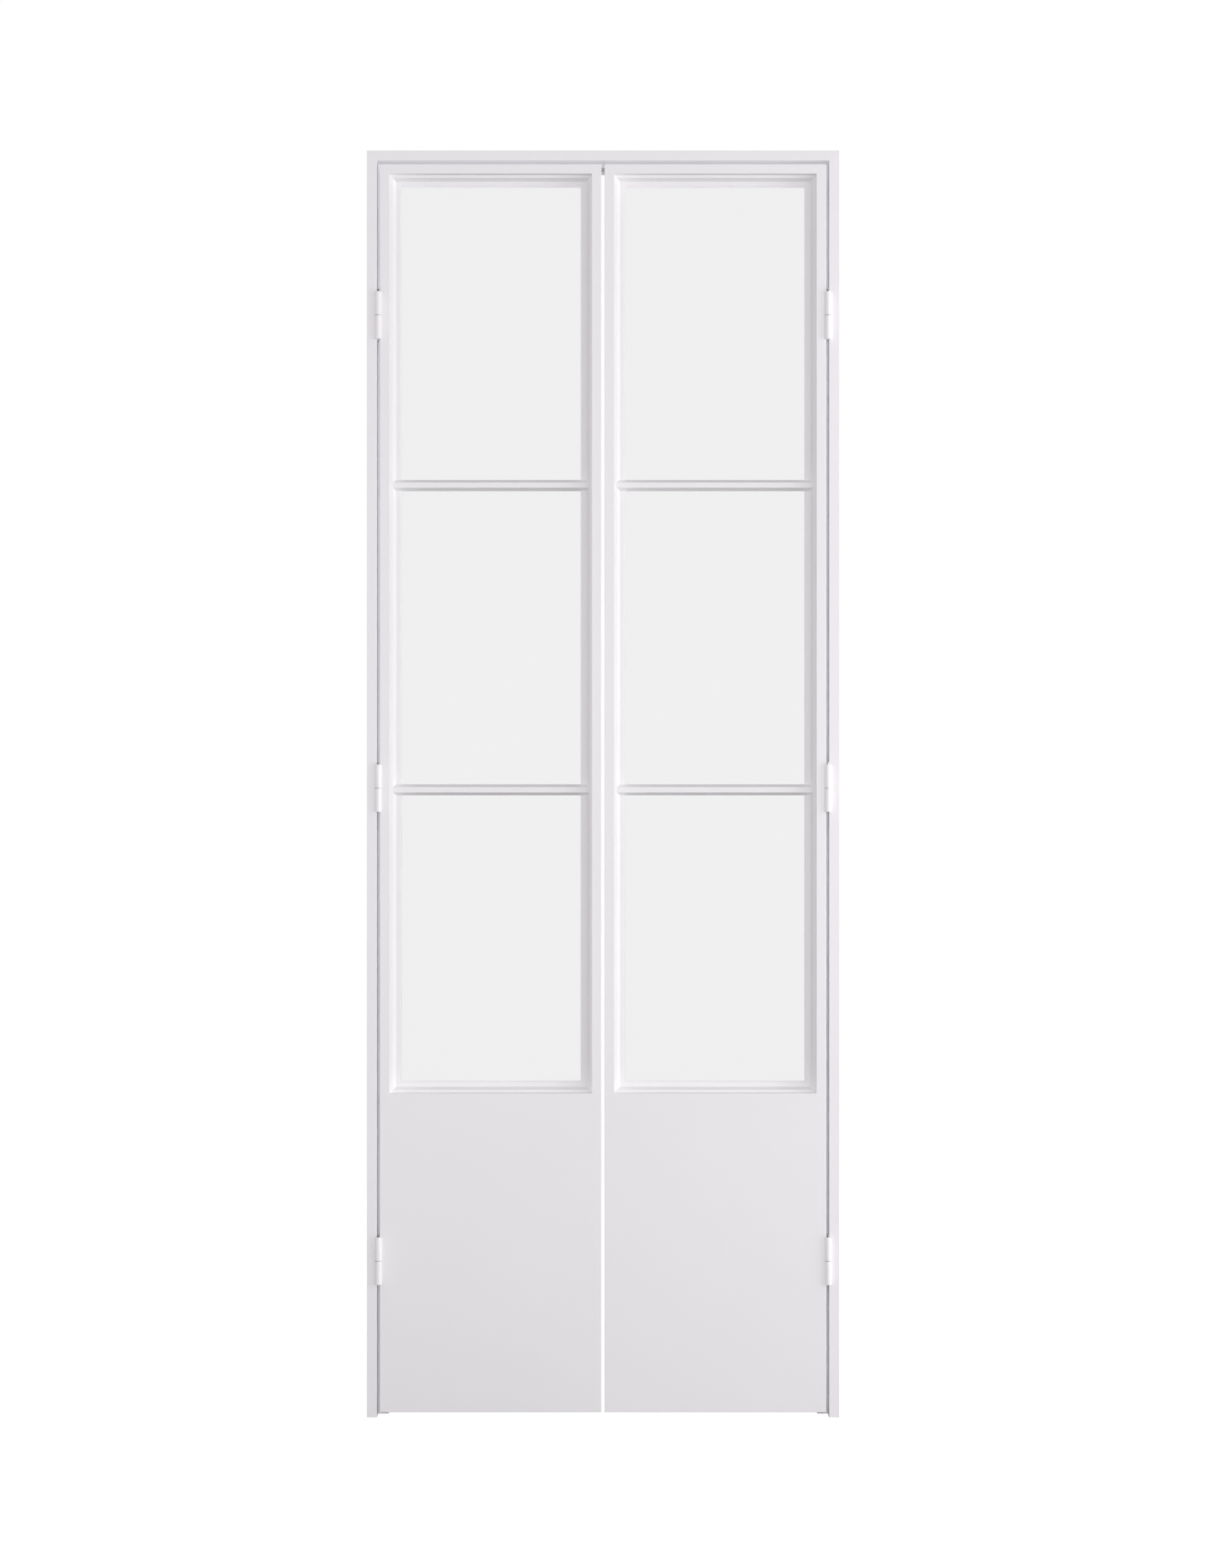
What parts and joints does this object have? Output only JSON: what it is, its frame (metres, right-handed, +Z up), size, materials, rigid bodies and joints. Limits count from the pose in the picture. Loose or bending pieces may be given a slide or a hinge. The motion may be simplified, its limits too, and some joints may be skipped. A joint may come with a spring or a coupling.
{
  "type": "double pantry door",
  "caption": "White steel double door in a three-sided frame; each glazed leaf swings on barrel hinges and has glazing bars and a flush kick panel.",
  "frame": {"origin": "on the floor, in the middle of the frame's width and of its depth with the hinge barrels", "axes": "+Z up, +X to the right seen from the front, +Y from the front (hinge barrels) to the back"},
  "size_m": [0.9144, 0.1302, 2.453],
  "materials": {
    "white_paint": "satin white powder coat",
    "clear_glass": "clear",
    "glazing_tape": "matt light grey foam tape",
    "grey_seal": "matt grey",
    "brass": "turned",
    "pin_steel": "bare, greased",
    "zinc_steel": "bright zinc",
    "raw_steel": "mill, oiled",
    "catch_plastic": "matt white"
  },
  "bodies": {
    "frame": {"left_jamb": "white_paint", "right_jamb": "white_paint", "head_jamb": "white_paint", "corner_cleats": "raw_steel", "floor_clips": "raw_steel", "left_stop": "white_paint", "right_stop": "white_paint", "head_stop": "white_paint", "stop_seals": "grey_seal", "stop_screws": "zinc_steel", "magnetic_catches": "catch_plastic", "left_frame_hinge_halves": "white_paint", "right_frame_hinge_halves": "white_paint", "hinge_pins": "pin_steel", "hinge_washers": "brass", "frame_hinge_backers": "raw_steel", "frame_hinge_screws": "zinc_steel"},
    "left_leaf": {"left_hinge_stile": "white_paint", "left_meeting_stile": "white_paint", "left_top_rail": "white_paint", "left_mid_rail": "white_paint", "left_bottom_rail": "white_paint", "left_kick_front": "white_paint", "left_kick_back": "white_paint", "left_kick_stiffeners": "raw_steel", "left_surround_hinge_side": "white_paint", "left_surround_meeting_side": "white_paint", "left_surround_top": "white_paint", "left_surround_bottom": "white_paint", "left_upper_muntin": "white_paint", "left_lower_muntin": "white_paint", "left_glazing_tape": "glazing_tape", "left_glass": "clear_glass", "left_rear_beads": "white_paint", "left_bead_screws": "zinc_steel", "left_leaf_hinge_halves": "white_paint", "left_leaf_hinge_backers": "raw_steel", "left_leaf_hinge_screws": "zinc_steel"},
    "right_leaf": {"right_hinge_stile": "white_paint", "right_meeting_stile": "white_paint", "right_top_rail": "white_paint", "right_mid_rail": "white_paint", "right_bottom_rail": "white_paint", "right_kick_front": "white_paint", "right_kick_back": "white_paint", "right_kick_stiffeners": "raw_steel", "right_surround_hinge_side": "white_paint", "right_surround_meeting_side": "white_paint", "right_surround_top": "white_paint", "right_surround_bottom": "white_paint", "right_upper_muntin": "white_paint", "right_lower_muntin": "white_paint", "right_glazing_tape": "glazing_tape", "right_glass": "clear_glass", "right_rear_beads": "white_paint", "right_bead_screws": "zinc_steel", "right_leaf_hinge_halves": "white_paint", "right_leaf_hinge_backers": "raw_steel", "right_leaf_hinge_screws": "zinc_steel"}
  },
  "joints": [
    {"name": "left_leaf_swing", "type": "hinge", "parent": "frame", "child": "left_leaf", "pos_m": [-0.43515, -0.0581, 1.2265], "axis": [0, 0, -1], "range_deg": [0, 180]},
    {"name": "right_leaf_swing", "type": "hinge", "parent": "frame", "child": "right_leaf", "pos_m": [0.43515, -0.0581, 1.2265], "axis": [0, 0, 1], "range_deg": [0, 180]}
  ]
}
